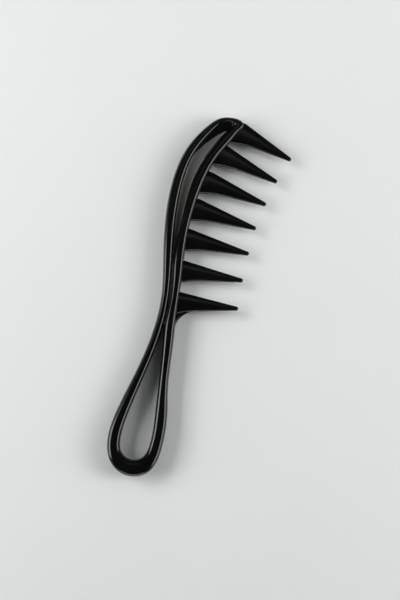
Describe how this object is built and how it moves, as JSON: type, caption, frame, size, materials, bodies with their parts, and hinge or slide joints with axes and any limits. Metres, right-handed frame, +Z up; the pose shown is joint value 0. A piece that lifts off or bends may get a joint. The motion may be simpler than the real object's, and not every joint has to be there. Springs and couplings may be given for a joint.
{
  "type": "wide tooth comb",
  "caption": "One-piece gloss black moulded comb with broad tapering teeth on a curved head, a recessed satin web between two rounded rails, and an open loop handle.",
  "frame": {"origin": "middle of the comb's footprint, on the surface that it lies on", "axes": "+Y along the comb from the loop handle to the head, +X the way the teeth point, +Z up, out of the broad side"},
  "size_m": [0.062, 0.2112, 0.008],
  "materials": {
    "polished": "polished moulded black plastic",
    "satin": "fine satin texture on the recessed web"
  },
  "bodies": {
    "root": {"loop_end": "polished", "spine_side_arm": "polished", "tooth_side_arm": "polished", "spine_waist": "polished", "tooth_waist": "polished", "waist_bridge": "polished", "spine_rail": "polished", "tooth_rail": "polished", "nose": "polished", "heel_gusset": "polished", "tooth_1": "polished", "tooth_2": "polished", "tooth_3": "polished", "tooth_4": "polished", "tooth_5": "polished", "tooth_6": "polished", "tooth_7": "polished", "head_web": "satin"}
  },
  "joints": []
}
